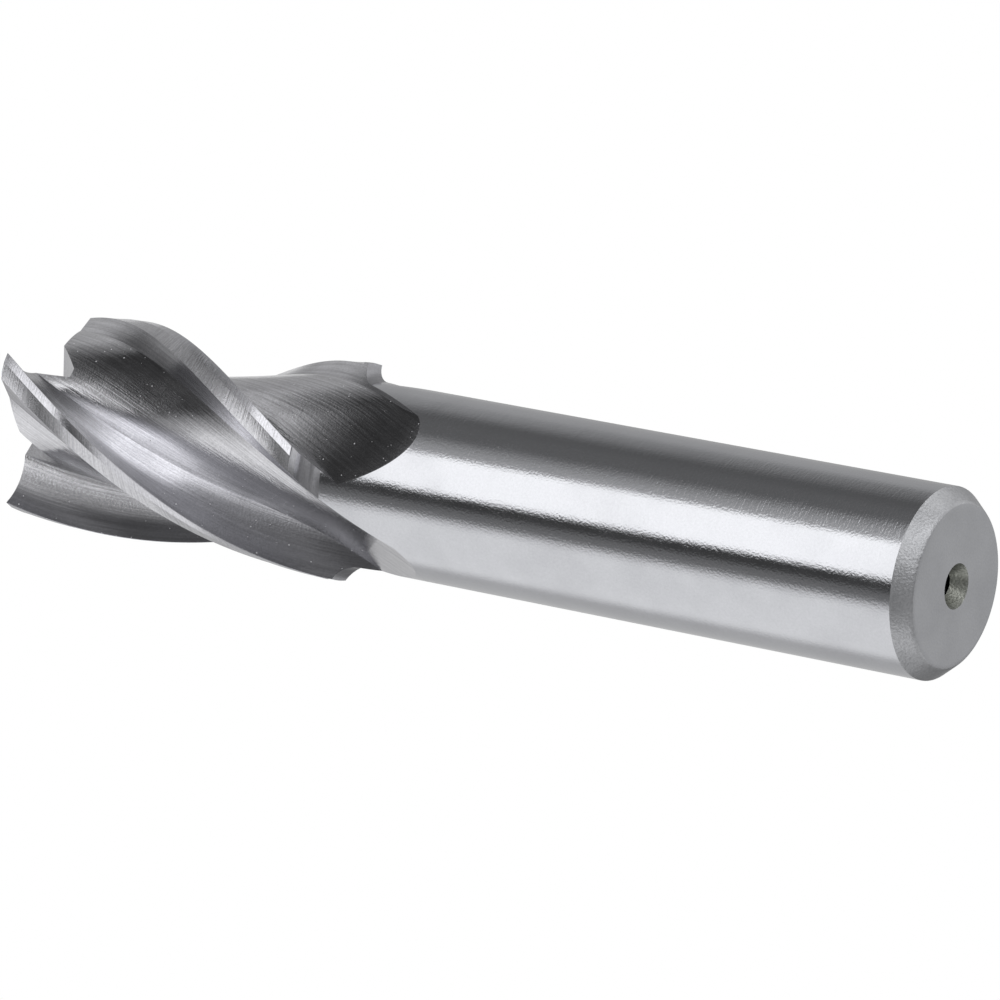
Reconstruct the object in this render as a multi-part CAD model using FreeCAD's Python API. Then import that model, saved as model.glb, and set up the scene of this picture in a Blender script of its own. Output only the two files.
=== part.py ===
import FreeCAD, Part
import math
import os

# A solid four-tooth end mill standing on the end of its shank.  The axis is
# +Z, the shank's end face is at z = 0 and the cutting end is at the top.  All
# sizes are in millimetres and degrees.

# Overall sizes
overall_length = 92.0
cutter_diameter = 19.0
shank_diameter = 16.0
helix_angle = 30.0

# Relieved teeth, the ring behind them just under the edges, the shoulder below
flute_length = 32.0
ring_length = 0.7
ring_step = 0.1
shoulder_length = 1.7

# Outside of a tooth: a primary and a secondary flat behind the cutting edge
primary_width = 0.85
primary_relief = 6.0
secondary_relief = 19.0

# Front of a tooth: rake at the edge and radius of the hollow below it, which
# grows from the tip down by so much for each millimetre
rake_angle = 14.0
hook_radius = 5.0
hook_growth = 0.2

# Disc that forms the floor and back of a flute: its radius, the radius left
# at the flute's deepest line, the lean of its plane, the angle of the deepest
# line behind the cutting edge and the depth below the tip where it lifts out
disc_radius = 72.0
core_radius = 4.6
disc_lean = 24.0
disc_behind = 32.5
lift_depth = 18.5

# Heel facet, at the back of a tooth: its outer corner as a radius and an
# angle ahead of the edge in front, and its lean from the radial direction
heel_radius = 8.9
heel_angle = 75.0
heel_lean = 33.0

# End teeth: hollow of the end, two clearances, and the gash before each edge
# with its wall ahead of the tool's axis, its flat bottom and its rising floor
end_hollow = 2.5
end_clearance = 3.5
end_land = 1.8
end_back_clearance = 16.0
gash_ahead = 1.0
gash_start_depth = 0.3
gash_fall = 39.0
gash_flat = 0.85
gash_floor = 43.0

# Shank end: chamfer and centre hole; the tip has a small centre hole too
chamfer_radial = 1.2
chamfer_axial = 1.5
centre_mouth = 3.8
centre_pilot = 2.0
centre_cone = 60.0
pilot_length = 2.4
pilot_point = 118.0
tip_centre = 3.0

tooth_count = 4
clear = 1.2
cut_r = cutter_diameter / 2
shank_r = shank_diameter / 2
rise = cut_r / math.tan(math.radians(helix_angle))
pitch = math.radians(360.0 / tooth_count)
cos_l = math.cos(math.radians(disc_lean))
sin_l = math.sin(math.radians(disc_lean))
disc_centre = core_radius + disc_radius


def vec(x, y, z):
    return FreeCAD.Vector(x, y, z)


def polar(radius, angle, down):
    """Point at a radius, an angle in radians and a depth below the tip."""
    return vec(radius * math.cos(angle), radius * math.sin(angle), overall_length - down)


def root(f, low, high):
    """Place between low and high where f changes sign, by halving."""
    sign = f(low) > 0
    for step in range(50):
        mid = (low + high) / 2
        if (f(mid) > 0) == sign:
            low = mid
        else:
            high = mid
    return (low + high) / 2


def spline(points):
    curve = Part.BSplineCurve()
    curve.interpolate(points)
    return curve.toShape()


def outline_at(curved, straight):
    """Closed level outline: a smooth run of points, then straight sides."""
    edges = []
    corners = list(straight)
    if curved:
        edges.append(spline(curved))
        corners = [curved[-1]] + corners + [curved[0]]
    else:
        corners = corners + [corners[0]]
    for i in range(len(corners) - 1):
        edges.append(Part.makeLine(corners[i], corners[i + 1]))
    return Part.Wire(edges)


def body(outlines):
    """Solid through level outlines."""
    return Part.makeLoft(outlines, True, False, False, 5)


# Helical bodies: a section at the tip is carried down the helix.
def levels(top, bottom, count):
    return [top + (bottom - top) * i / count for i in range(count + 1)]


def carried(x, y, down):
    return polar(math.hypot(x, y), math.atan2(y, x) - down / rise, down)


# Teeth: the section of one tooth has the primary flat through the cutting
# edge, the secondary flat, and a chord to the next tooth that the flutes
# take away later.
slope_1 = math.radians(primary_relief)
slope_2 = math.radians(secondary_relief)
lead_in = 0.6
heel_run = 3.2
outline = []
for tooth in range(tooth_count):
    turn = tooth * pitch
    corners = [(cut_r + lead_in * math.sin(slope_1), lead_in * math.cos(slope_1))]
    corners.append((cut_r - primary_width * math.tan(slope_1), -primary_width))
    corners.append((corners[1][0] - heel_run * math.sin(slope_2), -primary_width - heel_run * math.cos(slope_2)))
    for x, y in corners:
        outline.append((x * math.cos(turn) + y * math.sin(turn), y * math.cos(turn) - x * math.sin(turn)))
tooth_levels = levels(-clear, flute_length, 9)
teeth = body([outline_at([], [carried(x, y, d) for x, y in outline]) for d in tooth_levels])

# Front wall of a flute: the region ahead of the hollow rake face.
gamma = math.radians(rake_angle)


def hook_points(down):
    """Arc through the cutting edge, from outside the tool to below the flute's floor."""
    radius = hook_radius + hook_growth * max(down, 0.0)
    x = cut_r - radius * math.sin(gamma)
    first = math.asin((cut_r + clear - x) / radius)
    last = math.asin((x - core_radius + 1.0) / radius)
    turns = [first - (first + last) * i / 5 for i in range(6)]
    return [(x + radius * math.sin(t), radius * (math.cos(gamma) - math.cos(t))) for t in turns]


wall_depth = lift_depth + math.sqrt(2 * disc_radius * (shank_r + clear - core_radius)) + 2 * clear
wall_levels = levels(-clear, wall_depth, 12)
beyond = 2 * clear
heel = math.radians(heel_angle)
facet = heel + math.radians(heel_lean)
far = [(0.4 * core_radius * math.cos(0.8 * heel), 0.4 * core_radius * math.sin(0.8 * heel))]
for run in (-beyond, beyond):
    far.append((heel_radius * math.cos(heel) + run * math.cos(facet), heel_radius * math.sin(heel) + run * math.sin(facet)))
far.append((1.8 * cut_r * math.cos(0.5 * heel), 1.8 * cut_r * math.sin(0.5 * heel)))
front = body([
    outline_at([carried(x, y, d) for x, y in hook_points(d)], [carried(x, y, d) for x, y in far])
    for d in wall_levels])


# A point on the disc's rim: `along` its axis from its mid plane and turned by
# `turn` from the line to the tool's axis; radius, angle and depth come out,
# measured from the disc's last place.
def on_rim(along, turn):
    outward = disc_centre - disc_radius * math.cos(turn)
    side = along * cos_l + disc_radius * math.sin(turn) * sin_l
    depth = along * sin_l - disc_radius * math.sin(turn) * cos_l
    return math.hypot(outward, side), math.atan2(side, outward), depth


# Where the rim touches the flute while the disc follows the helix.
def contact(along):
    return on_rim(along, math.atan2(-along * cos_l, rise * cos_l + disc_centre * sin_l))


def floor_point(along, down):
    """Floor of a flute: the surface swept along the helix, then the disc itself."""
    radius, angle, reach = contact(along)
    depth = down - lift_depth
    place = -math.radians(disc_behind) - lift_depth / rise
    if depth <= reach:
        return polar(radius, place + angle - (depth - reach) / rise, down)
    turn = math.asin((along * sin_l - depth) / (disc_radius * cos_l))
    radius, angle, depth = on_rim(along, turn)
    return polar(radius, place + angle, down)


far_reach = root(lambda a: contact(a)[0] - (cut_r + clear), 0.0, 3 * cut_r)
near_reach = -0.1 * far_reach
spread = [near_reach + (far_reach - near_reach) * i / 10 for i in range(11)]
end_depth = root(
    lambda d: min(math.hypot(p.x, p.y) for p in [floor_point(a, d) for a in spread]) - shank_r - clear / 2,
    lift_depth, wall_depth)
floor_levels = levels(-clear, lift_depth, 5)[:-1] + levels(lift_depth, end_depth, 10)
outlines = []
for depth in floor_levels:
    points = [floor_point(a, depth) for a in spread]
    near_r = math.hypot(points[0].x, points[0].y)
    near_angle = math.atan2(points[0].y, points[0].x)
    sweep = (math.atan2(points[-1].y, points[-1].x) - near_angle) % (2 * math.pi)
    straight = [polar(2.7 * cut_r, near_angle + sweep / 2, depth), polar(near_r + cut_r, near_angle, depth)]
    outlines.append(outline_at(points, straight))
trough = body(outlines)
flute = trough.common(front)

# Shank, shoulder and ring, turned about the axis.
shoulder_top = overall_length - flute_length - ring_length
ring_r = cut_r - ring_step
step_out = ring_r - shank_r
shoulder_r = (step_out ** 2 + shoulder_length ** 2) / (2 * step_out)
half_turn = math.asin(shoulder_length / shoulder_r) / 2
arc_middle = vec(shank_r + shoulder_r * (1 - math.cos(half_turn)), 0,
                 shoulder_top - shoulder_length + shoulder_r * math.sin(half_turn))
profile = [
    Part.makeLine(vec(0, 0, 0), vec(shank_r - chamfer_radial, 0, 0)),
    Part.makeLine(vec(shank_r - chamfer_radial, 0, 0), vec(shank_r, 0, chamfer_axial)),
    Part.makeLine(vec(shank_r, 0, chamfer_axial), vec(shank_r, 0, shoulder_top - shoulder_length)),
    Part.Arc(vec(shank_r, 0, shoulder_top - shoulder_length), arc_middle, vec(ring_r, 0, shoulder_top)).toShape(),
    Part.makeLine(vec(ring_r, 0, shoulder_top), vec(ring_r, 0, shoulder_top + ring_length)),
    Part.makeLine(vec(ring_r, 0, shoulder_top + ring_length), vec(0, 0, shoulder_top + ring_length)),
    Part.makeLine(vec(0, 0, shoulder_top + ring_length), vec(0, 0, 0)),
]
blank = Part.Face(Part.Wire(profile)).revolve(vec(0, 0, 0), vec(0, 0, 1), 360)

tool = blank.fuse(teeth)
for tooth in range(tooth_count):
    cutter = flute.copy()
    cutter.rotate(vec(0, 0, 0), vec(0, 0, 1), 360.0 * tooth / tooth_count)
    tool = tool.cut(cutter)
tool = tool.removeSplitter()


# End teeth.  The part of the end behind each end edge is faced off by two
# planes: both hold the edge's slope toward the middle and fall away behind it.
hollow = math.tan(math.radians(end_hollow))
wide = cut_r + 2 * clear
over = overall_length + 2 * clear


def wedge(low, high):
    """Body between two outlines with the same number of corners."""
    return Part.makeLoft([Part.makePolygon(low + low[:1]), Part.makePolygon(high + high[:1])], True, True)


def facing(fall, offset, drop):
    """Region above the end face of the tooth whose edge is on +X."""
    steep = math.tan(math.radians(fall))
    corners = [(gash_ahead, gash_ahead), (wide, gash_ahead), (wide, -wide), (gash_ahead, -wide)]
    low = [vec(x, y, overall_length - (cut_r - x) * hollow - drop + (y + offset) * steep) for x, y in corners]
    return wedge(low, [vec(p.x, p.y, over) for p in low])


def gash_outline(x):
    """Outline of the gash at a distance from the axis, ahead of the end edge."""
    edge = overall_length - (cut_r - x) * hollow
    bottom = edge - gash_start_depth - (x - gash_ahead) * math.tan(math.radians(gash_fall))
    foot = gash_ahead + gash_flat
    reach = foot + (over - bottom) / math.tan(math.radians(gash_floor))
    return [vec(x, gash_ahead, bottom), vec(x, gash_ahead, over), vec(x, reach, over), vec(x, foot, bottom)]


end_cuts = [
    facing(end_clearance, 0.0, 0.0),
    facing(end_back_clearance, end_land, end_land * math.tan(math.radians(end_clearance))),
    wedge(gash_outline(gash_ahead), gash_outline(wide)),
]
for cut in end_cuts:
    for tooth in range(tooth_count):
        cutter = cut.copy()
        cutter.rotate(vec(0, 0, 0), vec(0, 0, 1), 360.0 * tooth / tooth_count)
        tool = tool.cut(cutter)

# Centre hole in the shank's end: a cone and a drilled pilot.
mouth_r = centre_mouth / 2
pilot_r = centre_pilot / 2
cone_depth = (mouth_r - pilot_r) / math.tan(math.radians(centre_cone / 2))
point_depth = cone_depth + pilot_length
bottom = point_depth + pilot_r / math.tan(math.radians(pilot_point / 2))
hole = Part.makePolygon([
    vec(0, 0, -clear), vec(mouth_r, 0, -clear), vec(mouth_r, 0, 0), vec(pilot_r, 0, cone_depth),
    vec(pilot_r, 0, point_depth), vec(0, 0, bottom), vec(0, 0, -clear)])
tool = tool.cut(Part.Face(hole).revolve(vec(0, 0, 0), vec(0, 0, 1), 360))

# Centre hole in the tip: a cone alone.
tip_r = tip_centre / 2
tip_z = overall_length - cut_r * hollow
tip_depth = tip_r / math.tan(math.radians(centre_cone / 2))
tip_hole = Part.makePolygon([
    vec(0, 0, tip_z - tip_depth), vec(tip_r, 0, tip_z), vec(tip_r, 0, over), vec(0, 0, over),
    vec(0, 0, tip_z - tip_depth)])
tool = tool.cut(Part.Face(tip_hole).revolve(vec(0, 0, 0), vec(0, 0, 1), 360))

os.makedirs("parts", exist_ok=True)
tool = tool.removeSplitter()
tool.Solids[0].exportStep("parts/endmill.step")
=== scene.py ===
# %% [markdown]
# # A four-tooth end mill in ground high-speed steel
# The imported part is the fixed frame.  Its shape is right, but its mesh is flat
# triangles, and mirror-bright ground steel shows every one of them.  So the tool
# is worked out again as one fine grid of rings, from the same sizes, and each
# ground surface gets the finish that its own wheel leaves.

# %% Load the fixed frame
import math

import bmesh
import bpy
import numpy as np
from mathutils import Matrix, Vector


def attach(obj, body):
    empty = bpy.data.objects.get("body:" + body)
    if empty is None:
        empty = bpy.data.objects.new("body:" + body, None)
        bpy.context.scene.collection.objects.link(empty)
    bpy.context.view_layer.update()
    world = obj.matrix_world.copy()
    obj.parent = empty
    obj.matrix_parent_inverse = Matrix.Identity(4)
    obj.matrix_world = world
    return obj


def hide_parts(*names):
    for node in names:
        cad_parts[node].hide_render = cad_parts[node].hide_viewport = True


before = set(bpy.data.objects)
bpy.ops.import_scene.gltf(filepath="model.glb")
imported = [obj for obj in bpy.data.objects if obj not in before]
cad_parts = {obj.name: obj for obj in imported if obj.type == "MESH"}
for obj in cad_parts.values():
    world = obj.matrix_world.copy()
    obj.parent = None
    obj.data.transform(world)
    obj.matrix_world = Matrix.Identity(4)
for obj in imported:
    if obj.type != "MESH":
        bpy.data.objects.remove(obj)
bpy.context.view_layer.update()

PER_METRE = 1000


# %% [markdown]
# ## Sizes
# All sizes are the part's own, in millimetres, with angles in radians, and are
# turned to metres only when a mesh is made.  The shank's end is at height 0, the
# tip is at 92, and one tooth's corner points along +X.  A level is named by how
# far down it is from the tip, because that is how a flute is ground.

# %% Sizes of the tool
LENGTH, CUT_R, SHANK_R, RING_R = 92.0, 9.5, 8.0, 9.4
FLUTE, RING, SHOULDER = 32.0, 0.7, 1.7  # lengths of the teeth, the ring and the arc below it
HELIX = math.radians(30.0)
RISE = CUT_R / math.tan(HELIX)  # how far down the helix turns by one radian
TEETH, QUARTER = 4, math.pi / 2  # the teeth, and the angle from one to the next

# The lands: a narrow primary relief, a wider secondary one, and the edge's hone.
PRIMARY, PRIMARY_RELIEF, SECONDARY_RELIEF = 0.85, math.radians(6.0), math.radians(19.0)
HONE = 0.05

# The flute: the hook under the edge, the disc that grinds the floor, the heel.
RAKE, HOOK_R, HOOK_GROWTH = math.radians(14.0), 5.0, 0.2
DISC_R, CORE_R, LIFT = 72.0, 4.6, 18.5
DISC_LEAN, DISC_BEHIND = math.radians(24.0), math.radians(32.5)
HEEL_R, HEEL, HEEL_LEAN = 8.9, math.radians(75.0), math.radians(33.0)

# The end teeth: the end's hollow, two clearances behind each edge, the gash.
HOLLOW, LAND = math.tan(math.radians(2.5)), 1.8
CLEARANCE, BACK_CLEARANCE = math.tan(math.radians(3.5)), math.tan(math.radians(16.0))
AHEAD, GASH_START, GASH_FLAT = 1.0, 0.3, 0.85
GASH_FALL, GASH_FLOOR = math.radians(39.0), math.radians(43.0)

# The centre holes and the chamfer of the shank.
CENTRE_CONE, DRILL_POINT = math.radians(30), math.radians(59)  # half of 60 and 118 degrees
TIP_HOLE_R, MOUTH_R, PILOT_R, PILOT_DEPTH = 1.5, 1.9, 1.15, 2.4
CHAMFER = 1.5
print("the helix makes one turn in", round(RISE * 2 * math.pi, 1), "mm")

# %% [markdown]
# ## The walls of a flute
# A flute is ground by a large disc that follows the helix and then lifts out in
# a straight line.  Its floor is therefore two surfaces in one: the envelope of
# the disc as it winds down the tool, and below the lift the disc's own rim.
# The front wall, under the cutting edge, is an arc that hooks under the edge.
# The heel facet takes the corner off the back of the tooth.  A sculpted or
# swept shape would only come near these surfaces, so each is a formula.


# %% Floor, hook and facet as functions
def on_rim(along, turn):
    """Radius, angle and depth of a point of the disc's rim.

    The rim is a circle of radius DISC_R at `along` on the disc's axis, which is
    leaned by DISC_LEAN: outward = core + R - R cos(turn), side = along cos(lean)
    + R sin(turn) sin(lean), depth = along sin(lean) - R sin(turn) cos(lean)."""
    outward = CORE_R + DISC_R - DISC_R * np.cos(turn)
    side = along * math.cos(DISC_LEAN) + DISC_R * np.sin(turn) * math.sin(DISC_LEAN)
    depth = along * math.sin(DISC_LEAN) - DISC_R * np.sin(turn) * math.cos(DISC_LEAN)
    return np.hypot(outward, side), np.arctan2(side, outward), depth


def floor_at(along, down):
    """Radius and angle of the floor: where the rim touches the helix, and the
    rim itself at the depths that the disc reaches only after its lift."""
    c, s = math.cos(DISC_LEAN), math.sin(DISC_LEAN)
    touching = np.arctan2(-along * c, RISE * c + (CORE_R + DISC_R) * s)
    radius, angle, reach = on_rim(along, touching)
    depth = down - LIFT
    place = -DISC_BEHIND - LIFT / RISE
    turn = np.arcsin(np.clip((along * s - depth) / (DISC_R * c), -1, 1))
    rim_radius, rim_angle, _ = on_rim(along, turn)
    winding = depth <= reach
    wound_angle = angle - (depth - reach) / RISE
    return np.where(winding, radius, rim_radius), place + np.where(winding, wound_angle, rim_angle)


def hook_at(radius, down):
    """Angle of the hooked wall at a radius: a circle through the cutting edge,
    leaned by the rake, whose radius is HOOK_R + HOOK_GROWTH times `down`."""
    h = HOOK_R + HOOK_GROWTH * np.maximum(down, 0)
    x, y = CUT_R - h * math.sin(RAKE), h * math.cos(RAKE)
    lean = (radius ** 2 - x ** 2 - y ** 2 - h ** 2) / (2 * h * np.hypot(x, y))
    t = np.arctan2(y, x) + np.arcsin(np.clip(lean, -1, 1))
    return np.arctan2(y - h * np.cos(t), x + h * np.sin(t)) - down / RISE


def facet_side(radius, angle, down):
    """Signed distance of a point from the heel facet's line, which winds with
    the helix.  It is above zero on the flute's side."""
    across = HEEL + HEEL_LEAN
    turned = angle + down / RISE
    x = radius * np.cos(turned) - HEEL_R * math.cos(HEEL)
    y = radius * np.sin(turned) - HEEL_R * math.sin(HEEL)
    return x * math.sin(across) - y * math.cos(across)


def halve(f, low, high, steps=46):
    """Place where f turns from below zero to above it, for whole arrays at once, by halving."""
    low, high = np.broadcast_arrays(low, high)
    low, high = low.astype(float).copy(), high.astype(float).copy()
    for _ in range(steps):
        mid = (low + high) / 2
        under = f(mid) < 0
        low, high = np.where(under, mid, low), np.where(under, high, mid)
    return (low + high) / 2


# The rim is used as far as it stays inside a circle a little outside the teeth,
# at a level so high that the disc only winds, and a little way to the other side.
OUTSIDE, ONLY_WINDING, FARTHEST, OTHER_SIDE = CUT_R + 1.2, -30.0, 30.0, 0.14
FAR = float(halve(lambda a: floor_at(a, ONLY_WINDING)[0] - OUTSIDE,
                  np.array(0.0), np.array(FARTHEST)))
NEAR = -OTHER_SIDE * FAR
print("the disc's rim is used from", round(NEAR, 2), "to", round(FAR, 2), "mm along its axis")

# %% [markdown]
# ## The blank and its levels
# The rings of the grid are level sections, so the helix is only a turn from one
# ring to the next.  They lie close together where the flutes run out, because
# the run-out's outline is what the eye follows there, and twice at one height
# where the tool has a flat step.

# %% The blank's radius at a level
ARC_R = ((RING_R - SHANK_R) ** 2 + SHOULDER ** 2) / (2 * (RING_R - SHANK_R))
RING_END, SHANK_TOP = FLUTE + RING, FLUTE + RING + SHOULDER


def blank_radius(down):
    """Ring, then an arc that falls in to the shank: r = shank + R - sqrt(R^2 - h^2), where h is
    the height above the shank's top."""
    h = np.clip(SHANK_TOP - down, 0, SHOULDER)
    arc = SHANK_R + ARC_R - np.sqrt(ARC_R ** 2 - h ** 2)
    return np.where(down < RING_END, RING_R, np.where(down < SHANK_TOP, arc, SHANK_R))


def lowest(down, samples=400):
    """Radius and place of the floor's deepest point at a level."""
    spread = np.linspace(NEAR, FAR, samples)[None, :]
    radius = floor_at(spread, down[:, None])[0]
    best = radius.argmin(1)
    return radius.min(1), spread[0, best]


shallowest, deepest = np.array([30.0]), np.array([60.0])
run_out = halve(lambda d: lowest(d)[0] - SHANK_R, shallowest, deepest).item()
print("the arc's radius is", round(ARC_R, 2), "mm, and run-outs end",
      round(run_out, 2), "mm below the tip")

# %% [markdown]
# The first ring stands half a millimetre above the tip, so that the end teeth
# are cut from a little more steel than is left.  Below the shank's top the rings
# crowd towards the run-out's end by a power, and the plain shank needs few.

# %% Levels of the rings
ABOVE_TIP, CROWDING, PAST_RUN_OUT = 0.5, 1.7, 0.2
TOOTH_RINGS, SHOULDER_RINGS, LEAVING_RINGS, PLAIN_RINGS = 119, 9, 60, 12
toothed = np.linspace(-ABOVE_TIP, FLUTE, TOOTH_RINGS)
ringed = np.array([FLUTE, FLUTE + RING / 2, RING_END])
shouldered = SHANK_TOP - SHOULDER * np.sin(np.linspace(QUARTER, 0, SHOULDER_RINGS))
leaving = run_out - (run_out - SHANK_TOP) * (1 - np.linspace(0, 1, LEAVING_RINGS)) ** CROWDING
plain = np.linspace(run_out + PAST_RUN_OUT, LENGTH - CHAMFER, PLAIN_RINGS)
down = np.concatenate([toothed, ringed, shouldered[1:], leaving[1:], plain])
in_teeth = np.arange(len(down)) < len(toothed)
print(len(down), "rings, of which", len(toothed), "are in the teeth")

# %% [markdown]
# ## One sector of each ring
# Going round from a cutting edge a ring has five runs: the hooked wall, the
# floor, the heel facet, and the next tooth's secondary and primary lands.  Each
# run has its own points at fixed places, held between the run's two ends, so a
# run that shrinks to nothing simply gathers in one point.

# %% Ends of the five runs
UNCUT = 1e3  # a radius so large that it cuts nothing off a tooth
HAIR = 1e-6  # a difference too small to count
blank = np.where(in_teeth, UNCUT, blank_radius(down))
held = np.minimum(down, run_out)
all_near, all_far = np.full_like(down, NEAR), np.full_like(down, FAR)
deep_r, deep_a = lowest(held)
crease = halve(lambda a: floor_at(a, held)[1] - hook_at(floor_at(a, held)[0], held),
               all_near, all_far)
at_facet = halve(lambda a: -facet_side(*floor_at(a, held), held), crease, all_far)
gone = deep_r >= blank - HAIR
near_cross = halve(lambda a: blank - floor_at(a, held)[0], np.minimum(crease, deep_a), deep_a)
far_cross = halve(lambda a: floor_at(a, held)[0] - blank, deep_a, np.maximum(at_facet, deep_a))
wall_here = (floor_at(crease, held)[0] < blank) & ~gone
facet_here = (floor_at(at_facet, held)[0] < blank) & ~gone
floor_from = np.where(gone, deep_a, np.where(wall_here, crease, near_cross))
floor_to = np.where(gone, deep_a, np.where(facet_here, at_facet, far_cross))
wall_top = np.minimum(blank, CUT_R)
wall_foot = np.minimum(floor_at(floor_from, held)[0], wall_top)
crease_r = float(floor_at(crease, held)[0][0])
print("crease radius at the tip", round(crease_r, 2), "and rings with no flute", int(gone.sum()))

# %% [markdown]
# The heel is the corner where the facet's line meets the next tooth's secondary
# land.  On the real tool it is whatever the two wheels leave between them, so it
# is solved for here and not given.

# %% Corner of the heel
across = np.array([math.cos(HEEL + HEEL_LEAN), math.sin(HEEL + HEEL_LEAN)])
heel_at = HEEL_R * np.array([math.cos(HEEL), math.sin(HEEL)])
quarter = np.array([[0.0, -1.0], [1.0, 0.0]])
corner = quarter @ np.array([CUT_R - PRIMARY * math.tan(PRIMARY_RELIEF), -PRIMARY])
back = quarter @ np.array([-math.sin(SECONDARY_RELIEF), -math.cos(SECONDARY_RELIEF)])
span = np.linalg.solve(np.column_stack([across, -back]), corner - heel_at)
heel_corner = heel_at + span[0] * across
land_width = float(span[1] + PRIMARY)
print("heel at radius", round(float(np.hypot(*heel_corner)), 2), "and a land",
      round(land_width, 2), "mm wide")

# %% [markdown]
# Now the runs get their points.  The wall and the floor come straight from the
# formulas above, at radii and places that are the same on every ring, so that
# the lines of the grid follow the wheel's path.


# %% Points of the hooked wall and the floor
def turned(radius, angle):
    """Level points from radius and angle: x = r cos(angle), y = r sin(angle)."""
    return np.stack([radius * np.cos(angle), radius * np.sin(angle)], -1)


def rotated(points, angle):
    """Rows of level points turned about the axis, each row by its own angle."""
    c, s = np.cos(angle)[:, None], np.sin(angle)[:, None]
    x, y = points[..., 0], points[..., 1]
    return np.stack([x * c - y * s, x * s + y * c], -1)


WALL_POINTS, FLOOR_POINTS = 18, 44
INNERMOST, SPREADING = 4.5, 0.9  # the wall's last radius, and the power that spreads its points
radii = CUT_R - HONE - (CUT_R - HONE - INNERMOST) * np.linspace(0, 1, WALL_POINTS) ** SPREADING
wall_r = np.clip(radii[None, :], wall_foot[:, None], wall_top[:, None])
wall = turned(wall_r, hook_at(wall_r, held[:, None]))
places = np.linspace(NEAR, FAR, FLOOR_POINTS)
floor_a = np.clip(places[None, :], floor_from[:, None], floor_to[:, None])
bed_r, bed_angle = floor_at(floor_a, held[:, None])
bed = turned(np.minimum(bed_r, blank[:, None]), bed_angle)
wall = np.where(wall_here[:, None, None], wall, bed[:, :1])
print("wall", wall.shape, "floor", bed.shape)

# %% [markdown]
# The facet runs straight from the floor's end to the heel, or out to the blank's
# round where the tooth is lower.  Its points keep their distance from the foot,
# so the rings on both sides of a step have the same ones and close cleanly.

# %% Points of the heel facet
FACET_POINTS = 5
BLANK_CAP = 50.0  # keeps UNCUT out of the square root
round_r = np.minimum(blank, BLANK_CAP)
foot = bed[:, -1]
heel = rotated(np.repeat(heel_corner[None, None], len(down), 0), -held / RISE)[:, 0]
step = heel - foot
length = np.maximum(np.hypot(*step.T), 1e-9)  # never zero, because it divides
unit = step / length[:, None]
lean = (foot * unit).sum(1)
to_blank = -lean + np.sqrt(np.maximum(lean ** 2 - (foot ** 2).sum(1) + round_r ** 2, 0))
cut = np.where(in_teeth, length, np.where(facet_here, to_blank, 0))
reach = np.minimum(length[:, None] * np.linspace(0, 1, FACET_POINTS), cut[:, None])
reach[:, -1] = cut
facet = foot[:, None] + unit[:, None] * reach[..., None]
print("facet", round(float(cut[0]), 2), "mm wide at the tip")

# %% [markdown]
# The lands are straight across a tooth.  Below the teeth the same points lie on
# the blank's round, at the same shares of the angle, up to the next flute.

# %% Points of the lands
SECOND_STEPS, FIRST_STEPS = 20, 8
edge_point = quarter @ np.array([CUT_R, 0.0])
second = heel_corner + (corner - heel_corner) * np.linspace(0, 1, SECOND_STEPS + 1)[:, None]
to_hone = np.linspace(0, 1 - HONE / PRIMARY, FIRST_STEPS + 1)[:, None]
first = corner + (edge_point - corner) * to_hone
lands = np.concatenate([second, first[1:]])
share = np.arctan2(lands[:, 1], lands[:, 0])
share = (share - share[0]) / (share[-1] - share[0])
tooth_lands = rotated(np.repeat(lands[None], len(down), 0), -down / RISE)
start = np.arctan2(facet[:, -1, 1], facet[:, -1, 0])
stop = np.arctan2(wall[:, 0, 1], wall[:, 0, 0]) + QUARTER
stop = start + (stop - start) % (2 * math.pi)
round_lands = turned(round_r[:, None], start[:, None] + (stop - start)[:, None] * share[None, :])
outer = np.where(in_teeth[:, None, None], tooth_lands, round_lands)

sector = np.concatenate([wall, bed[:, 1:], facet[:, 1:], outer[:, 1:]], 1)
runs = [wall.shape[1] - 1, bed.shape[1] - 1, facet.shape[1] - 1, SECOND_STEPS, FIRST_STEPS, 1]
print("each sector has runs of", runs, "steps, so a ring has", TEETH * sum(runs), "points")

# %% [markdown]
# ## From rings to one closed mesh
# Four sectors make a ring, and the rings are carried down over the chamfer and
# the flat end into the centre hole.  There they keep their angles and only
# change radius and height.  A turned tool has no knife edge where the chamfer
# meets the end, so five rings round that corner.

# %% Grid of the whole tool
sectors = [rotated(sector, np.full(len(down), k * QUARTER)) for k in range(TEETH)]
ring = np.concatenate(sectors, 1)
heights = np.repeat((LENGTH - down)[:, None, None], ring.shape[1], 1)
CORNER_ROUND = [(7.06, 0.325), (6.92, 0.165), (6.76, 0.06), (6.58, 0.008), (6.4, 0.0)]
END_FACE = [(5.2, 0.0), (3.6, 0.0), (MOUTH_R, 0.0)]
cone = (MOUTH_R - PILOT_R) / math.tan(CENTRE_CONE)
drilled = cone + PILOT_DEPTH
centre_hole = [(MOUTH_R, 0.0), (PILOT_R, cone), (PILOT_R, cone), (PILOT_R, drilled),
               (0.0, drilled + PILOT_R / math.tan(DRILL_POINT))]
tail_r, tail_z = np.array(CORNER_ROUND + END_FACE + centre_hole).T
theta = np.arctan2(ring[-1, :, 1], ring[-1, :, 0])
tail_heights = np.repeat(tail_z[:, None], len(theta), 1)
tail = np.stack([tail_r[:, None] * np.cos(theta), tail_r[:, None] * np.sin(theta), tail_heights], 2)
grid = np.concatenate([np.concatenate([ring, heights], 2), tail])
n_rows, n_cols = grid.shape[:2]
print("grid of", n_rows, "rings with", n_cols, "points each")

# %% [markdown]
# Every face knows which ground surface it belongs to, because each wheel leaves
# its own finish.  In the teeth the run decides.  Below them the lands become the
# ring and then the shank, and the last rings are the chamfer and what follows.

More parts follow.
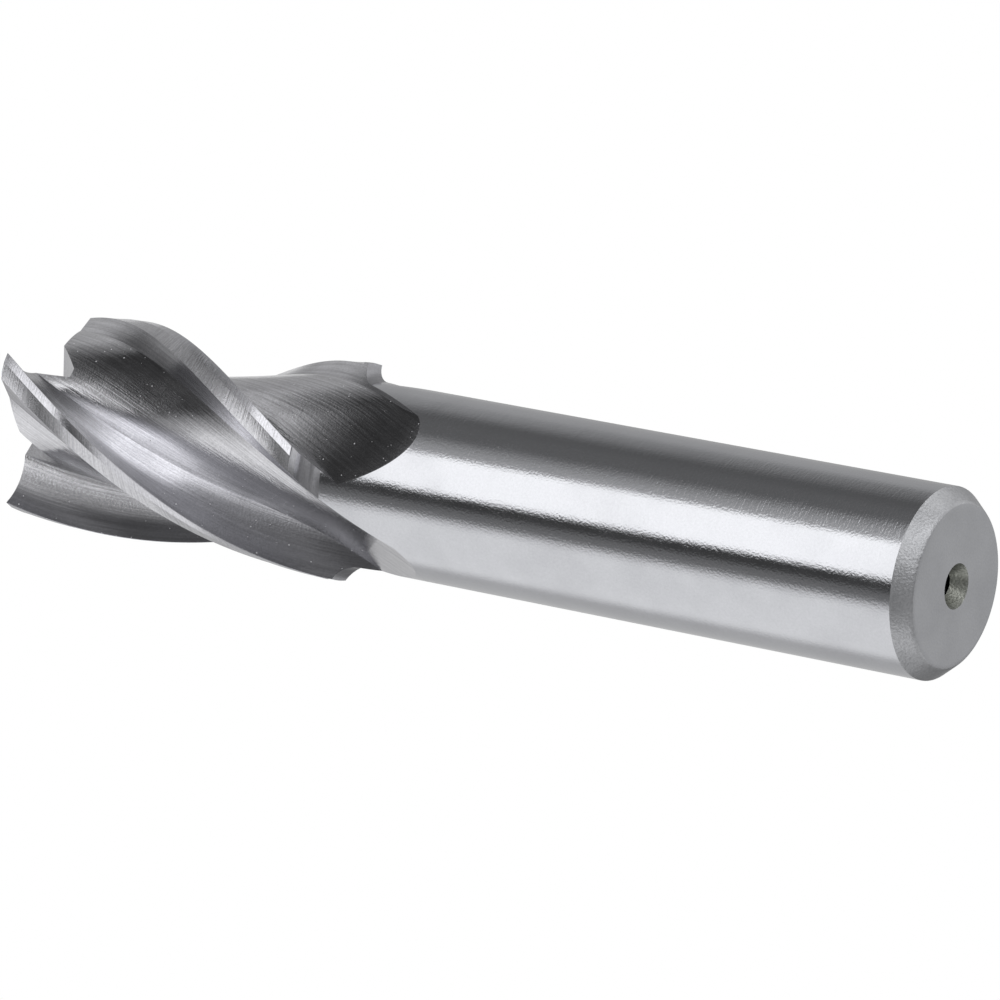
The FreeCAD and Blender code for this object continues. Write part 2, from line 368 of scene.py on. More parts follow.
# %% Which surface each face belongs to
SURFACES = ["shank", "rake", "floor", "facet", "secondary", "primary",
            "end", "face", "hole", "chamfer", "pilot", "ring"]
NUMBER = {name: number for number, name in enumerate(SURFACES)}
RUN_SURFACES = ["rake", "floor", "facet", "secondary", "primary", "primary"]
column_kind = np.tile(np.repeat([NUMBER[name] for name in RUN_SURFACES], runs), TEETH)
on_land = np.isin(column_kind, [NUMBER["secondary"], NUMBER["primary"]])
level = np.concatenate([down, np.full(len(tail_r), LENGTH)])
below_teeth = np.arange(n_rows - 1) >= len(toothed) - 1
above_shank = level[:-1] < SHANK_TOP - HAIR
kind = np.repeat(column_kind[None, :], n_rows - 1, 0)
kind[np.ix_(below_teeth & above_shank, on_land)] = NUMBER["ring"]
kind[np.ix_(below_teeth & ~above_shank, on_land)] = NUMBER["shank"]
TAIL_ROWS = [("chamfer", -1, 2), ("face", 2, 7), ("hole", 7, 9), ("pilot", 9, 12)]
for name, first_row, end_row in TAIL_ROWS:
    kind[len(down) + first_row:len(down) + end_row] = NUMBER[name]
print({name: int((kind == number).sum()) for name, number in NUMBER.items()})

# %% [markdown]
# Scratches follow the wheel, so every corner also keeps its place along and
# across the wheel's path, as its UV.  In the flutes and on the lands the path is
# the helix, and its length is the depth divided by the helix angle's cosine.  On
# the shank and its end the path is the circle that the wheel or tool runs round.

# %% Places along and across the wheel's path
PROFILE_RING = 40  # a ring well inside the teeth, whose outline gives the widths
wound = level / math.cos(HELIX)
width = np.concatenate([[0], np.cumsum(np.hypot(*np.diff(sector[PROFILE_RING], axis=0).T))])
sector_width = width[-1]
across_path = [width + k * sector_width for k in range(TEETH)] + [[TEETH * sector_width]]
across_path = np.concatenate(across_path)
round_angle = np.unwrap(np.arctan2(grid[:, :, 1], grid[:, :, 0]), axis=1)
round_angle = np.concatenate([round_angle, round_angle[:, :1] + 2 * math.pi], 1)

row, col = np.meshgrid(np.arange(n_rows - 1), np.arange(n_cols), indexing="ij")
following = (col + 1) % n_cols
quads = np.stack([row * n_cols + col, (row + 1) * n_cols + col,
                  (row + 1) * n_cols + following, row * n_cols + following], -1).reshape(-1, 4)
round_face = np.isin(kind, [NUMBER[name] for name in ("shank", "face", "hole", "chamfer", "pilot")])
corner_uv = np.zeros((n_rows - 1, n_cols, 4, 2))
for k, (next_row, next_col) in enumerate([(0, 0), (1, 0), (1, 1), (0, 1)]):
    rows, columns = row + next_row, col + next_col
    helical = np.stack([wound[rows], across_path[columns]], -1)
    circular = np.stack([round_angle[rows, columns] * SHANK_R, level[rows]], -1)
    corner_uv[:, :, k] = np.where(round_face[..., None], circular, helical)
print("one sector is", round(float(sector_width), 2), "mm wide along its outline")

# %% [markdown]
# Points that have gathered in one place are welded.  A quad that loses a side
# becomes a triangle, and one that loses its area is dropped, so the mesh has no
# flat faces that would break the shading or the cuts at the tip.


# %% Welding the grid
def weld(points, quads, kinds, corner_uv, per_mm=1e5):
    """Joins points that round to the same hundred-thousandth of a millimetre, turns quads with
    a doubled corner into triangles and drops flat ones."""
    keys = np.round(points.reshape(-1, 3) * per_mm).astype(np.int64)
    _, firsts, same = np.unique(keys, axis=0, return_index=True, return_inverse=True)
    q = same.reshape(-1)[quads]
    doubled = q == np.roll(q, -1, 1)
    folded = (q[:, 0] == q[:, 2]) | (q[:, 1] == q[:, 3])
    four = (doubled.sum(1) == 0) & ~folded
    three = (doubled.sum(1) == 1) & ~folded
    keep3 = ~doubled[three]
    loops = np.concatenate([q[four].ravel(), q[three][keep3]])
    uvs = np.concatenate([corner_uv[four].reshape(-1, 2), corner_uv[three][keep3]])
    sizes = np.concatenate([np.full(four.sum(), 4), np.full(three.sum(), 3)])
    kinds = np.concatenate([kinds[four], kinds[three]])
    return points.reshape(-1, 3)[firsts], loops, sizes, kinds, uvs


def make_mesh(name, points, loops, sizes, kinds, uvs):
    """Writes arrays in millimetres into a new mesh, in metres."""
    mesh = bpy.data.meshes.new(name)
    mesh.vertices.add(len(points))
    mesh.vertices.foreach_set("co", (points / PER_METRE).astype(np.float32).ravel())
    mesh.loops.add(len(loops))
    mesh.loops.foreach_set("vertex_index", loops.astype(np.int32))
    mesh.polygons.add(len(sizes))
    starts = np.concatenate([[0], np.cumsum(sizes)[:-1]])
    mesh.polygons.foreach_set("loop_start", starts.astype(np.int32))
    mesh.polygons.foreach_set("material_index", kinds.astype(np.int32))
    layer = mesh.uv_layers.new(name="path")
    layer.data.foreach_set("uv", (uvs / PER_METRE).astype(np.float32).ravel())
    mesh.update(calc_edges=True)
    mesh.validate()
    return mesh


points, loops, sizes, kinds, uvs = weld(grid, quads, kind.reshape(-1), corner_uv.reshape(-1, 4, 2))
body_mesh = make_mesh("endmill_ground", points, loops, sizes, kinds, uvs)
print("welded to", len(points), "points and", len(sizes), "faces")

# %% [markdown]
# One flat face closes the top; the end teeth are cut through it afterwards.  The
# top centimetre is made of triangles, which stay flat when they are cut.

# %% The top closed
TRIANGLES_ABOVE = LENGTH - 10.0
highest = np.maximum.reduceat(points[loops, 2], np.cumsum(sizes) - sizes)
bm = bmesh.new()
bm.from_mesh(body_mesh)
cap = bmesh.ops.contextual_create(bm, geom=[e for e in bm.edges if e.is_boundary])["faces"]
bm.faces.ensure_lookup_table()
near_tip = [bm.faces[i] for i in np.nonzero(highest > TRIANGLES_ABOVE)[0]]
bmesh.ops.triangulate(bm, faces=near_tip + cap)
bmesh.ops.recalc_face_normals(bm, faces=bm.faces)
print("open edges after the cap:", sum(e.is_boundary for e in bm.edges), "faces", len(bm.faces))
bm.to_mesh(body_mesh)
bm.free()
endmill = bpy.data.objects.new("endmill_ground", body_mesh)
bpy.context.scene.collection.objects.link(endmill)

# %% [markdown]
# ## End teeth
# The end is ground flat by flat: two clearances behind each end edge and a gash
# in front of it.  Each is the region above a few planes, so each is the hull of
# eight points.  A small centre hole in the tip is the hull of two circles and a
# point.  All of them are taken from the tool at once, as the wheels would do it.


# %% Helper for the end cuts
def hull(name, corners, turn):
    """Closed convex mesh round a few points in millimetres, turned about the axis."""
    bm = bmesh.new()
    for p in corners:
        bm.verts.new(Matrix.Rotation(turn, 4, "Z") @ Vector([c / PER_METRE for c in p]))
    bmesh.ops.convex_hull(bm, input=bm.verts)
    bmesh.ops.recalc_face_normals(bm, faces=bm.faces)
    mesh = bpy.data.meshes.new(name)
    bm.to_mesh(mesh)
    bm.free()
    made = bpy.data.objects.new(name, mesh)
    bpy.context.scene.collection.objects.link(made)
    return made


MARGIN = 2.4  # how far the cuts reach past the steel
WIDE, OVER = CUT_R + MARGIN, LENGTH + MARGIN


def facing(slope, offset, drop):
    """Corners of the region above an end face: z = length - (cut radius - x) hollow - drop +
    (y + offset) slope, so it keeps the end's hollow and falls away behind the edge."""
    flat = [(AHEAD, AHEAD), (WIDE, AHEAD), (WIDE, -WIDE), (AHEAD, -WIDE)]
    low = [(x, y, LENGTH - (CUT_R - x) * HOLLOW - drop + (y + offset) * slope) for x, y in flat]
    return low + [(x, y, OVER) for x, y in flat]


def gash(x):
    """Outline of the gash at a distance from the axis: steep wall, flat bottom, rising floor."""
    bottom = LENGTH - (CUT_R - x) * HOLLOW - GASH_START - (x - AHEAD) * math.tan(GASH_FALL)
    toe = AHEAD + GASH_FLAT
    ahead = toe + (OVER - bottom) / math.tan(GASH_FLOOR)
    return [(x, AHEAD, bottom), (x, AHEAD, OVER), (x, ahead, OVER), (x, toe, bottom)]


hulls = []
for k in range(TEETH):
    hulls.append(hull("facing", facing(CLEARANCE, 0, 0), k * QUARTER))
    hulls.append(hull("backing", facing(BACK_CLEARANCE, LAND, LAND * CLEARANCE), k * QUARTER))
    hulls.append(hull("gash", gash(AHEAD) + gash(WIDE), k * QUARTER))
tip_z = LENGTH - CUT_R * HOLLOW
TIP_POINTS = 48
tip_turns = np.linspace(0, 2 * math.pi, TIP_POINTS + 1)[:-1]
tip_ring = [(TIP_HOLE_R * math.cos(t), TIP_HOLE_R * math.sin(t), tip_z) for t in tip_turns]
tip_point = (0, 0, tip_z - TIP_HOLE_R / math.tan(CENTRE_CONE))
hulls.append(hull("tip_cone", tip_ring + [(x, y, OVER) for x, y, z in tip_ring] + [tip_point], 0))
print("end cuts:", len(hulls))

# %% [markdown]
# ## Finishes
# Each finish is one kind of ground steel.  The colour of bare steel hardly
# changes over a tool; what changes is how rough the wheel leaves it and which
# way its scratches run.  The scratches follow the UV, whose unit is a metre
# along or across the wheel's path, and clouds and pits follow the object's own
# coordinates.  Real scratches are a few hundredths of a millimetre apart; they
# are drawn about a quarter of a millimetre apart, because finer ones would only
# flicker at this distance.


# %% Helpers for materials
def hex_colour(code):
    """Linear colour of an sRGB hex value: c/12.92 below 0.04045, else ((c + 0.055)/1.055)^2.4."""
    parts = [int(code[i:i + 2], 16) / 255 for i in (0, 2, 4)]
    linear = (c / 12.92 if c <= 0.04045 else ((c + 0.055) / 1.055) ** 2.4 for c in parts)
    return (*linear, 1.0)


def node(tree, kind_of, inputs=(), links=(), **settings):
    """Adds one node, sets its properties and input values, and links inputs to other sockets."""
    made = tree.nodes.new(kind_of)
    for key, value in settings.items():
        setattr(made, key, value)
    for key, value in dict(inputs).items():
        made.inputs[key].default_value = value
    for key, socket in dict(links).items():
        tree.links.new(socket, made.inputs[key])
    return made


def empty_tree(owner):
    """Node tree of a material or world, with nothing in it."""
    owner.use_nodes = True
    owner.node_tree.nodes.clear()
    return owner.node_tree


def maths(tree, operation, *terms):
    """One Math node.  Each term is a number, which is set, or a socket, which is linked."""
    numbers = {k: term for k, term in enumerate(terms) if isinstance(term, (int, float))}
    sockets = {k: term for k, term in enumerate(terms) if k not in numbers}
    return node(tree, "ShaderNodeMath", numbers, sockets, operation=operation).outputs[0]


def remap(tree, value, low, high, start=0.0, stop=1.0, curve="LINEAR"):
    """Value carried from low..high to start..stop and held there, straight or by a smooth step."""
    ends = {"From Min": low, "From Max": high, "To Min": start, "To Max": stop}
    made = node(tree, "ShaderNodeMapRange", ends, {"Value": value}, interpolation_type=curve)
    return made.outputs["Result"]


def noise(tree, place, scale, **more):
    """Cloudy pattern, `scale` to a unit of the place's coordinates."""
    made = node(tree, "ShaderNodeTexNoise", {"Scale": scale, **more}, {"Vector": place})
    return made.outputs["Fac"]


def mix_colour(tree, share, first, second):
    """Colour between two, each of which is a hex value or a socket."""
    both = {6: first, 7: second}
    codes = {k: hex_colour(c) for k, c in both.items() if isinstance(c, str)}
    sockets = {k: c for k, c in both.items() if k not in codes}
    return node(tree, "ShaderNodeMix", codes, {0: share, **sockets}, data_type="RGBA").outputs[2]


print("sRGB 808080 is", round(hex_colour("808080")[0], 3), "in linear light")

# %% [markdown]
# Two finishes have something more.  Beside each cutting edge the rake face gets
# painted shade: its darker reflection is painted into the colour as a ragged
# strip that widens down the tool.  Its place is known from the UV, so it follows
# the edge all the way.  Chalky specks of dust lie in the flutes; they are not
# metal, so they are matt.

# %% Painted shade beside the edge, and chalky specks
SECTOR = float(sector_width) / PER_METRE
WIDENS_FROM, WIDENS_TO = 0.015, 0.03  # metres along the edge
NARROW, BROAD = 1.2, 3.2  # times the strip's own distances
RAGGED = 0.0006
# Painted shade: the darker colour beside each cutting edge, and where it fades out.
PAINTED_SHADE_COLOUR, STRIP_FULL, STRIP_OVER = "88888C", 0.0010, 0.0022


def painted_shade_strip(tree, paint, place, fine, colour, full, over):
    """Painted shade beside the edge, as a darker colour.  The distance from it, divided by how
    broad the strip is there and with a little noise added, gives the whole colour up to `full` and
    none past `over`."""
    parts = node(tree, "ShaderNodeSeparateXYZ", {}, {"Vector": place})
    broad = remap(tree, parts.outputs["X"], WIDENS_FROM, WIDENS_TO, NARROW, BROAD, "SMOOTHSTEP")
    from_edge = maths(tree, "DIVIDE", maths(tree, "MODULO", parts.outputs["Y"], SECTOR), broad)
    uneven = maths(tree, "MULTIPLY_ADD", fine, RAGGED, -RAGGED / 2)
    fade = remap(tree, maths(tree, "ADD", from_edge, uneven), full, over, curve="SMOOTHSTEP")
    return mix_colour(tree, fade, colour, paint)


def chalky_specks(tree, paint, place, colour="D6D6DA", to_a_metre=1900.0, rarity=0.4, largest=0.13):
    """Colour and metalness with specks in some cells of a grid: a speck's size grows with its
    cell's random number above `rarity`, up to `largest` of the cell."""
    cells = node(tree, "ShaderNodeTexVoronoi", {"Scale": to_a_metre}, {"Vector": place})
    chance = node(tree, "ShaderNodeSeparateColor", {}, {"Color": cells.outputs["Color"]})
    size = remap(tree, chance.outputs["Red"], rarity, 1.0, 0.0, largest)
    inside = maths(tree, "LESS_THAN", cells.outputs["Distance"], size)
    return mix_colour(tree, inside, paint, colour), maths(tree, "SUBTRACT", 1.0, inside)


strip_ends = [round(STRIP_OVER * times * PER_METRE, 1) for times in (NARROW, BROAD)]
print("the strip fades out", strip_ends, "mm from the edge, at the tip and at the run-out")

# %% [markdown]
# The steel itself is fully metallic, so its colour is the colour of what it
# mirrors.  Its roughness and colour change in soft clouds about 5 mm wide, tiny
# pits darken it in grains of 0.2 mm, and long thin noise gives the scratches,
# once as height and once as fine darker lines.  Noise seldom leaves the middle
# third of its range, so each pattern spreads that part out.


# %% Ground steel as one material
CLOUDS, PITS = 210.0, 5200.0  # to a metre


def steel(name, colour, rough, lines, depth, grain, wear=0.05, dull=None, anisotropic=0.0,
          strip=None, specks=False, mottle=0.16, streak=0.0):
    """Ground steel.  `rough` changes by `wear` either way, and `colour` turns to `dull` in the
    cloudier patches.  `lines` is how many scratches there are to a metre along and across the
    wheel's path; `depth` and `grain` are how deep scratches and pits are, in metres; `streak`
    and `mottle` are how much darker they make the steel.  `strip` holds the colour and the two
    distances of the painted shade beside an edge, a darker reflection painted into the colour."""
    mat = bpy.data.materials.new(name)
    tree = empty_tree(mat)
    out = node(tree, "ShaderNodeOutputMaterial")
    bsdf = node(tree, "ShaderNodeBsdfPrincipled", {"Metallic": 1.0, "Anisotropic": anisotropic})
    tree.links.new(bsdf.outputs["BSDF"], out.inputs["Surface"])
    path = node(tree, "ShaderNodeUVMap", uv_map="path").outputs["UV"]
    drawn_out = node(tree, "ShaderNodeMapping", {"Scale": (*lines, 1.0)}, {"Vector": path})
    fine = noise(tree, drawn_out.outputs["Vector"], 1.0, Detail=4.0, Roughness=0.65)
    here = node(tree, "ShaderNodeTexCoord").outputs["Object"]
    cloud = noise(tree, here, CLOUDS, Detail=4.0)
    pits = noise(tree, here, PITS, Detail=2.0)
    roughness = remap(tree, cloud, 0.35, 0.65, rough - wear, rough + wear)
    tree.links.new(roughness, bsdf.inputs["Roughness"])
    paint = mix_colour(tree, remap(tree, cloud, 0.42, 0.68), colour, dull or colour)
    if strip:
        # painted shade: the darker reflection beside the cutting edge, painted into the colour
        paint = painted_shade_strip(tree, paint, path, fine, *strip)
    if specks:
        paint, metal = chalky_specks(tree, paint, here)
        tree.links.new(metal, bsdf.inputs["Metallic"])
    darker = maths(tree, "MULTIPLY", remap(tree, pits, 0.3, 0.7, 1.0 - mottle, 1.0),
                   remap(tree, fine, 0.35, 0.6, 1.0 - streak, 1.0))
    shaded = node(tree, "ShaderNodeVectorMath", {}, {0: paint, 1: darker}, operation="MULTIPLY")
    tree.links.new(shaded.outputs[0], bsdf.inputs["Base Color"])
    scored = node(tree, "ShaderNodeBump", {"Strength": 1.0, "Distance": depth}, {"Height": fine})
    pitted = node(tree, "ShaderNodeBump", {"Strength": 1.0, "Distance": grain},
                  {"Height": pits, "Normal": scored.outputs["Normal"]})
    tree.links.new(pitted.outputs["Normal"], bsdf.inputs["Normal"])
    if anisotropic:
        way = node(tree, "ShaderNodeTangent", direction_type="UV_MAP", uv_map="path")
        tree.links.new(way.outputs["Tangent"], bsdf.inputs["Tangent"])
    return mat


print("clouds of", round(PER_METRE / CLOUDS, 1), "mm and pits of", round(PER_METRE / PITS, 2), "mm")

# %% [markdown]
# ## Which surface gets which finish
# A wheel that runs along the flute leaves lines along it, the wheel that backs
# off the lands leaves lines straight across them, and a lathe or a grinder that
# turns the bar leaves rings.  The flutes are drawn lighter than bare steel is:
# light that meets two walls of a flute loses too much otherwise.

# %% The finishes of the tool
finishes = {
    # Ground between centres: the smoothest surface.  The eye gets long clean
    # stripes of the studio with slightly frayed edges.
    "shank": steel("cylindrically_ground_steel", "CCCDD1", 0.10, (160, 4200), 8e-6, 1e-5,
                   0.03, "C6C7CB", mottle=0.05),
    # The side of the disc: lines along the flute and a soft sheen across them,
    # with painted shade beside the cutting edge: a darker reflection in the colour.
    "rake": steel("rake_ground_steel", "E2E2E6", 0.18, (60, 4200), 2e-5, 8e-6,
                  0.04, "D8D8DC", 0.3, (PAINTED_SHADE_COLOUR, STRIP_FULL, STRIP_OVER), True,
                  streak=0.22),
    # The rim of the disc: the same lines, but brighter and smoother.
    "floor": steel("flute_ground_steel", "E4E4E8", 0.12, (50, 4200), 1.6e-5, 6e-6,
                   0.03, "DADADE", 0.3, specks=True, streak=0.24),
    # A second pass takes the heel off: a greyer band with strong lines.
    "facet": steel("back_ground_steel", "D0D0D4", 0.2, (80, 4000), 1.2e-5, 5e-6,
                   0.04, "C0C0C4", 0.3, streak=0.25),
    # The lands are backed off by the side of a cup wheel: short lines across
    # them, so the wide one looks brushed and the narrow one glints.
    "secondary": steel("relief_ground_steel", "D8D8DC", 0.24, (4500, 250), 2e-5, 6e-6,
                       0.04, "CCCCD0", streak=0.2),
    "primary": steel("edge_ground_steel", "DCDCE1", 0.16, (4500, 250), 2e-5, 5e-6,
                     0.04, "D2D2D7", streak=0.2),
    # The end teeth are small flats with no clear direction: plain satin.
    "end": steel("end_ground_steel", "DCDCE0", 0.25, (3000, 3000), 6e-6, 4e-6),
    # The faced end of the bar: flat grey, hardly mirrors anything.
    "face": steel("turned_steel_face", "A8A9AC", 0.5, (60, 3000), 3e-6, 2e-5,
                  0.02, "A4A5A8", mottle=0.08),
    # The centre drill's cone: rough rings, blotched, and a little warmer.
    "hole": steel("countersunk_steel", "A4A69F", 0.42, (60, 3000), 1e-5, 4e-5,
                  0.06, "8C8E8A", mottle=0.4),
    # The chamfer is turned: coarse rings that break the softbox into a blur.
    "chamfer": steel("turned_steel_chamfer", "C0C1C4", 0.36, (60, 3000), 1e-5, 3.5e-5,
                     0.05, "ACADB0", mottle=0.2),
    # Little light comes back out of the pilot hole, so it is nearly black.
    "pilot": steel("drilled_steel_in_shade", "141416", 0.6, (60, 3000), 1e-5, 1e-5),
    # The ring behind the teeth is duller than the ground shank.
    "ring": steel("ring_ground_steel", "A8A8AC", 0.34, (4500, 250), 1e-5, 6e-6,
                  0.04, "B4B4B8", streak=0.2),
}
print(len(finishes), "finishes:", sorted(m.name for m in finishes.values()))

# %% [markdown]
# The tool gets its finishes in the order of the surfaces' numbers, and the end
# cuts bring the end's own finish with them.


# %% End teeth cut
def cut_away(target, tools):
    """Takes closed bodies from another, all at once, and leaves their material on the cut."""
    group = bpy.data.collections.new("end_cuts")
    for tool in tools:
        group.objects.link(tool)
    cut = target.modifiers.new("cut", "BOOLEAN")
    cut.operation, cut.solver, cut.material_mode = "DIFFERENCE", "EXACT", "TRANSFER"
    cut.operand_type, cut.collection = "COLLECTION", group
    evaluated = target.evaluated_get(bpy.context.evaluated_depsgraph_get())
    mesh = bpy.data.meshes.new_from_object(evaluated)
    target.modifiers.clear()
    target.data = mesh
    for tool in tools:
        bpy.data.objects.remove(tool)
    bpy.data.collections.remove(group)


for name in SURFACES:
    endmill.data.materials.append(finishes[name])
for tool in hulls:
    tool.data.materials.append(finishes["end"])
cut_away(endmill, hulls)
print("after the end cuts:", len(endmill.data.polygons), "faces with",
      len(endmill.data.materials), "finishes")

# %% [markdown]
# ## Crisp edges
# A ground surface is smooth, but two of them meet in a crisp edge.  So the whole
# mesh is shaded smooth, and an edge is sharp where two finishes meet or where
# the faces turn by more than 25 degrees.


# %% Crisp edges between ground surfaces
def crisp(mesh, angle):
    """Smooth shading, with sharp edges where two finishes meet or the faces turn by more than
    an angle: two unit normals' product is then under its cosine."""
    mesh.polygons.foreach_set("use_smooth", np.ones(len(mesh.polygons), bool))
    edge = np.empty(len(mesh.loops), np.int32)
    mesh.loops.foreach_get("edge_index", edge)
    sizes = np.empty(len(mesh.polygons), np.int32)
    mesh.polygons.foreach_get("loop_total", sizes)
    owner = np.repeat(np.arange(len(sizes)), sizes)
    which = np.empty(len(sizes), np.int32)
    mesh.polygons.foreach_get("material_index", which)
    normal = np.empty(len(sizes) * 3, np.float32)
    mesh.polygons.foreach_get("normal", normal)
    normal = normal.reshape(-1, 3)
    order = np.argsort(edge, kind="stable")
    e, f = edge[order], owner[order]
    pair = np.nonzero(e[1:] == e[:-1])[0]
    a, b = f[pair], f[pair + 1]
    turn = (normal[a] * normal[b]).sum(1) < math.cos(angle)
    sharp = np.zeros(len(mesh.edges), bool)
    sharp[e[pair]] = turn | (which[a] != which[b])
    attribute = mesh.attributes.get("sharp_edge")
    attribute = attribute or mesh.attributes.new("sharp_edge", "BOOLEAN", "EDGE")
    attribute.data.foreach_set("value", sharp)
    return int(sharp.sum())


CRISP_ANGLE = math.radians(25)
print("sharp edges:", crisp(endmill.data, CRISP_ANGLE))
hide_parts("endmill")
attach(endmill, "root")

# %% [markdown]
# ## Studio
# Bare steel has almost no look of its own: it shows the room.  The room here is
# a grey light tent with pale walls, softboxes and black flags, painted on the
# world as soft-edged panels.  Lamps of that shape would light the tool too, but
# their edges couldn't be as soft.  The camera itself sees plain white.

# %% Directions of the world
VIEW_AZIMUTH = math.radians(-28.37)  # where the photograph's camera stands
world = bpy.data.worlds.new("light_tent")
bpy.context.scene.world = world
sky = empty_tree(world)
direction = node(sky, "ShaderNodeTexCoord").outputs["Generated"]
from_camera = node(sky, "ShaderNodeVectorRotate", {"Axis": (0, 0, 1), "Angle": -VIEW_AZIMUTH},
                   {"Vector": direction}, rotation_type="AXIS_ANGLE")
parts = node(sky, "ShaderNodeSeparateXYZ", {}, {"Vector": from_camera.outputs["Vector"]})
azimuth = maths(sky, "ARCTAN2", parts.outputs["Y"], parts.outputs["X"])
elevation = maths(sky, "ARCSINE", parts.outputs["Z"])


def between(value, low, high, soft):
    """One between two angles in degrees and nothing outside: the product of two smooth steps."""
    ends = [low - soft, low + soft, high - soft, high + soft]
    rise, risen, fall, fallen = (math.radians(end) for end in ends)
    up = remap(sky, value, rise, risen, curve="SMOOTHSTEP")
    off = remap(sky, value, fall, fallen, 1.0, 0.0, "SMOOTHSTEP")
    return maths(sky, "MULTIPLY", up, off)


def panel(under, az, az_soft, el, el_soft, level):
    """Lays a panel of one brightness over what is there, between azimuths and elevations."""
    mask = maths(sky, "MULTIPLY", between(azimuth, *az, az_soft), between(elevation, *el, el_soft))
    return node(sky, "ShaderNodeMix", {3: level}, {0: mask, 2: under}, data_type="FLOAT").outputs[0]


print("azimuths are counted from", round(math.degrees(VIEW_AZIMUTH), 2), "degrees")

# %% [markdown]
# Each row is a panel: its azimuths with their softness, its elevations with
# theirs, and its brightness, where 1 is white.  Azimuth 0 is the side where the
# camera stands and 180 is behind the tool.  A later panel covers an earlier one,
# as a flag in front of a softbox would.

# %% World panels
PANELS = [
    # The floor of the tent, darker straight below.
    ((-200, 200), 3, (-100, -8), 3, 0.42),
    ((-200, 200), 3, (-100, -66), 6, 0.28),
    # Low and behind: two pale walls.
    ((-200, -125), 20, (-62, -10), 20, 1.0),
    ((125, 200), 20, (-62, -10), 20, 1.0),
    # Low at both sides: pale walls, with a dark gap on one of them.
    ((-64, -36), 10, (-40, -6), 8, 0.18),
    ((-100, -64), 18, (-40, -6), 8, 1.15),
    ((98, 130), 18, (-40, -6), 8, 1.15),
    # Low in front: a dark and a grey card, and the softbox that lights the chamfer.
    ((-32, 20), 6, (-29, -5), 6, 0.25),
    ((20, 83), 12, (-29, -5), 8, 0.50),
    ((20, 92), 10, (-62, -32), 7, 2.20),
    # High at one side and behind: a grey wall with a dark card, and a pale wall.
    ((-200, -100), 12, (-10, 74), 12, 0.56),
    ((-172, -128), 12, (-26, 24), 8, 0.25),
    ((-114, -40), 10, (-10, 74), 10, 1.0),
    # High at the other side: grey cards, two dark flags and a thin light strip.
    ((102, 186), 5, (19, 52), 5, 0.42),
    ((158, 200), 5, (36, 50), 4, 0.90),
    ((101, 166), 8, (50, 72), 4, 0.60),
    ((55, 105), 12, (19, 56), 12, 0.15),
    ((85, 124), 10, (13, 30), 10, 0.10),
    ((48, 108), 6, (40, 44.5), 2.5, 0.75),
    # High in front: the dark ceiling that gives the shank its dark top.
    ((-20, 86), 7, (49, 66), 2.5, 0.035),
    ((-32, 82), 10, (62, 83), 5, 0.12),
    ((-80, -3), 8, (59, 81), 6, 0.11),
    # In front at one side: dark flags that draw the flutes.
    ((-36, -20), 5, (18, 46), 5, 0.20),
    ((-23, -5), 4, (18, 46), 5, 0.06),
    ((-60, -3), 5, (3, 17), 3, 0.15),
    # In front: the softboxes, whose mirror images are the bright streaks.
    ((-32, 0), 4, (-3, 1), 2, 1.9),
    ((-5, 52), 4, (-3, 12), 3, 1.25),
    ((-7, 38), 3, (16, 47.5), 3, 1.50),
    ((10, 60), 5, (1, 24), 4, 1.75),
    ((30, 52), 4, (5, 20), 4, 2.70),
]
TENT = 0.45
base = node(sky, "ShaderNodeValue")
base.outputs[0].default_value = TENT
light = base.outputs[0]
for az, az_soft, el, el_soft, level in PANELS:
    light = panel(light, az, az_soft, el, el_soft, level)
rays = node(sky, "ShaderNodeLightPath")
seen = node(sky, "ShaderNodeMix", {3: 1.0}, {0: rays.outputs["Is Camera Ray"], 2: light},
            data_type="FLOAT")
glow = node(sky, "ShaderNodeBackground", {"Color": (1, 1, 1, 1)}, {"Strength": seen.outputs[0]})
node(sky, "ShaderNodeOutputWorld", {}, {"Surface": glow.outputs["Background"]})
print(len(PANELS), "panels over a tent of", TENT)

# %% [markdown]
# ## Floor and lamp
# A sheet of pale paper lies just under the tool and carries its shadow.  It is
# seen only from above, because the photograph is taken from below it, and no
# other ray meets it, so that it doesn't cover the lower panels.  One large soft
# lamp above gives the shadow, and the steel doesn't mirror it.

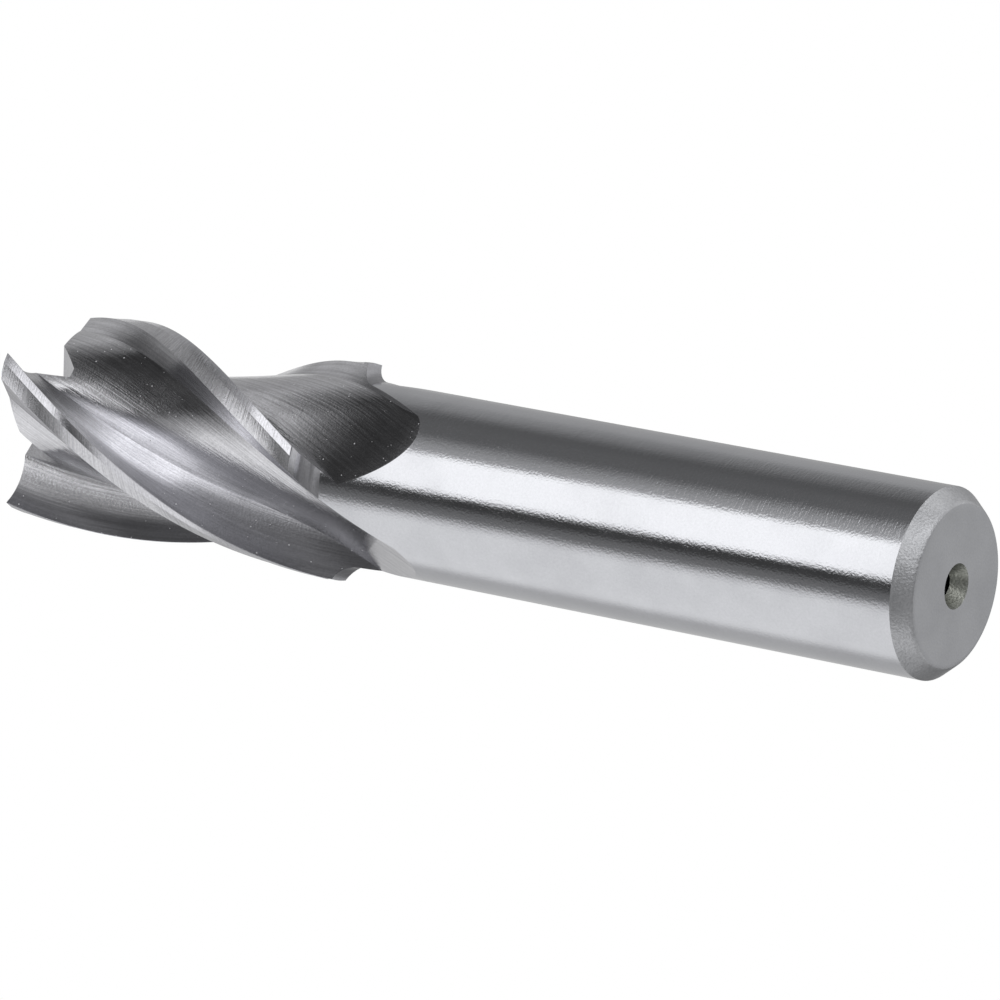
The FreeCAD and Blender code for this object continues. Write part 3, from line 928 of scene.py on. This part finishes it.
# %% Paper and softbox
FLOOR_HALF, FLOOR_Z = 3.0, -0.00003
sides = [(-1, -1), (1, -1), (1, 1), (-1, 1)]
corners = [(x * FLOOR_HALF, y * FLOOR_HALF, FLOOR_Z) for x, y in sides]
floor_mesh = bpy.data.meshes.new("studio_floor")
floor_mesh.from_pydata(corners, [], [(0, 1, 2, 3)])
studio_floor = bpy.data.objects.new("studio_floor", floor_mesh)
bpy.context.scene.collection.objects.link(studio_floor)
paper = bpy.data.materials.new("pale_paper_sweep")
sheet = empty_tree(paper)
matt = node(sheet, "ShaderNodeBsdfDiffuse", {"Color": hex_colour("F2F2F0")})
clear = node(sheet, "ShaderNodeBsdfTransparent")
side = node(sheet, "ShaderNodeNewGeometry")
one_sided = node(sheet, "ShaderNodeMixShader", {},
                 {0: side.outputs["Backfacing"], 1: matt.outputs["BSDF"], 2: clear.outputs["BSDF"]})
node(sheet, "ShaderNodeOutputMaterial", {}, {"Surface": one_sided.outputs["Shader"]})
floor_mesh.materials.append(paper)
for ray in ("glossy", "diffuse", "transmission", "shadow", "volume_scatter"):
    setattr(studio_floor, "visible_" + ray, False)

softbox = bpy.data.lights.new("overhead_softbox", "AREA")
softbox.energy, softbox.size = 3.0, 0.5  # watts and metres
key = bpy.data.objects.new("overhead_softbox", softbox)
key.location = (0.25, 0.35, 0.75)
key.rotation_euler = Vector(key.location).to_track_quat("Z", "Y").to_euler()
bpy.context.scene.collection.objects.link(key)
key.visible_glossy = False
print("paper", round(-FLOOR_Z * PER_METRE, 2), "mm under the tool, lamp of", softbox.energy, "W")

# %% [markdown]
# ## Camera
# The camera was fitted to the photograph: to the shank's two outlines, its end
# circle, the chamfer's edge and the corners of the teeth.  It stands half a
# metre away, lower than the tool and on the side of the shank's end, and looks
# up at it with a long lens.

# %% Camera at the photograph's angle
RIGHT, UP = (-0.378151, 0.417280, -0.826365), (0.556031, 0.816075, 0.157639)
FORWARD = (-0.740156, 0.399874, 0.540621)
STANDS_AT = (0.41857679, -0.22619833, -0.26122876)
lens = bpy.data.cameras.new("photo_camera")
lens.sensor_width, lens.lens = 36.0, 241.8
lens.clip_start, lens.clip_end = 0.01, 20.0
camera = bpy.data.objects.new("photo_camera", lens)
turn = Matrix((RIGHT, UP, [-c for c in FORWARD])).transposed().to_4x4()
camera.matrix_world = Matrix.Translation(Vector(STANDS_AT)) @ turn
bpy.context.scene.collection.objects.link(camera)
bpy.context.scene.camera = camera
bpy.context.scene.view_settings.view_transform = "Standard"
print("camera", [round(v, 3) for v in camera.location])
